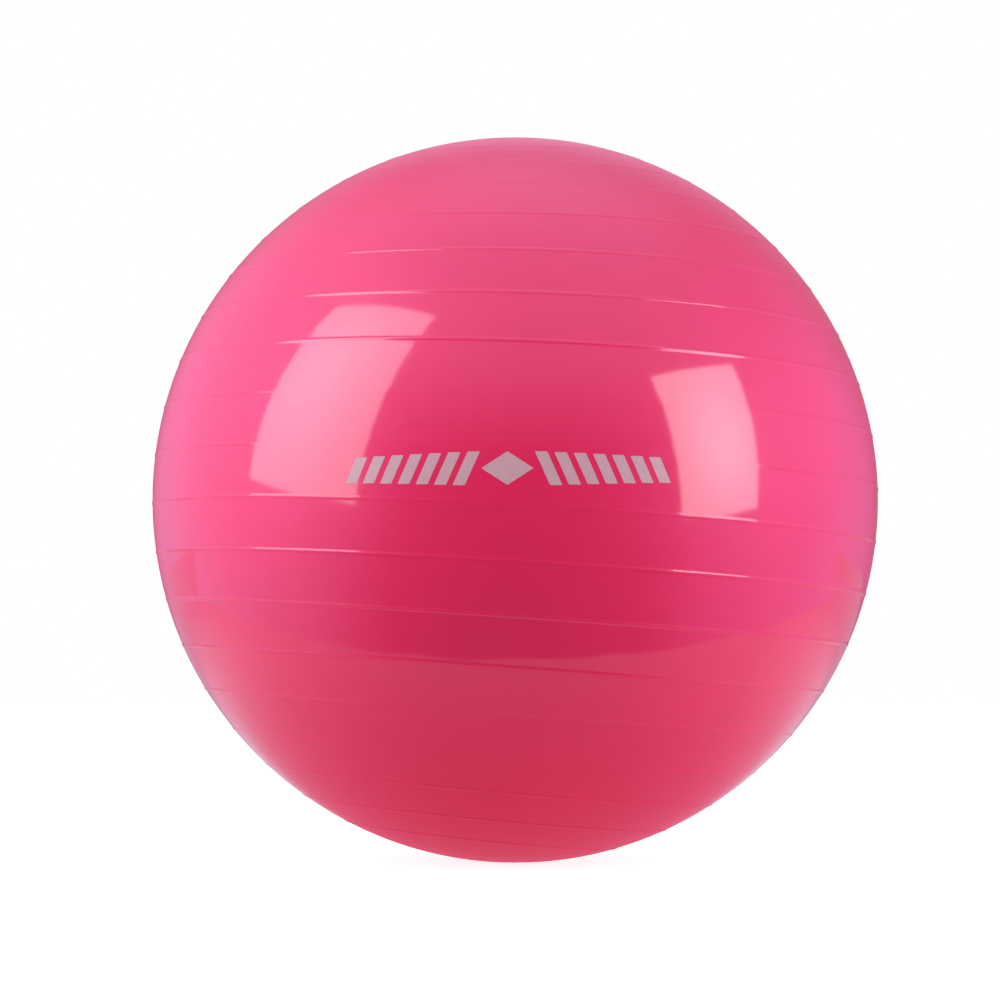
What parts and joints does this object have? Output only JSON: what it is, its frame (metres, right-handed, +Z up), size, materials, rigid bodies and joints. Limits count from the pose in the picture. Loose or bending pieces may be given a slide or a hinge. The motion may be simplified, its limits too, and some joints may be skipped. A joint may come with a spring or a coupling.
{
  "type": "exercise ball",
  "caption": "Inflated exercise ball with raised anti-slip ribs round it, a soft valve seat let into the skin at the back and a pull-out plug.",
  "frame": {"origin": "centre of the flat patch where the ball rests on the floor, under the middle of the ball", "axes": "+Z up, -Y towards the printed front, +Y out of the valve at the back; the rib axis leans 2.9 degrees from +Z towards +X"},
  "size_m": [0.6502, 0.65, 0.649],
  "materials": {
    "ball_pvc": "glossy pearl pink PVC",
    "seat_pvc": "satin pink PVC, moulded",
    "plug_polyethylene": "satin white polyethylene, moulded"
  },
  "bodies": {
    "ball": {"ball_skin": "ball_pvc", "valve_seat": "seat_pvc"},
    "plug": {"valve_plug": "plug_polyethylene"}
  },
  "joints": [
    {"name": "plug_pull", "type": "slide", "parent": "ball", "child": "plug", "axis": [0, 1, 0], "range_m": [0, 0.03]}
  ]
}
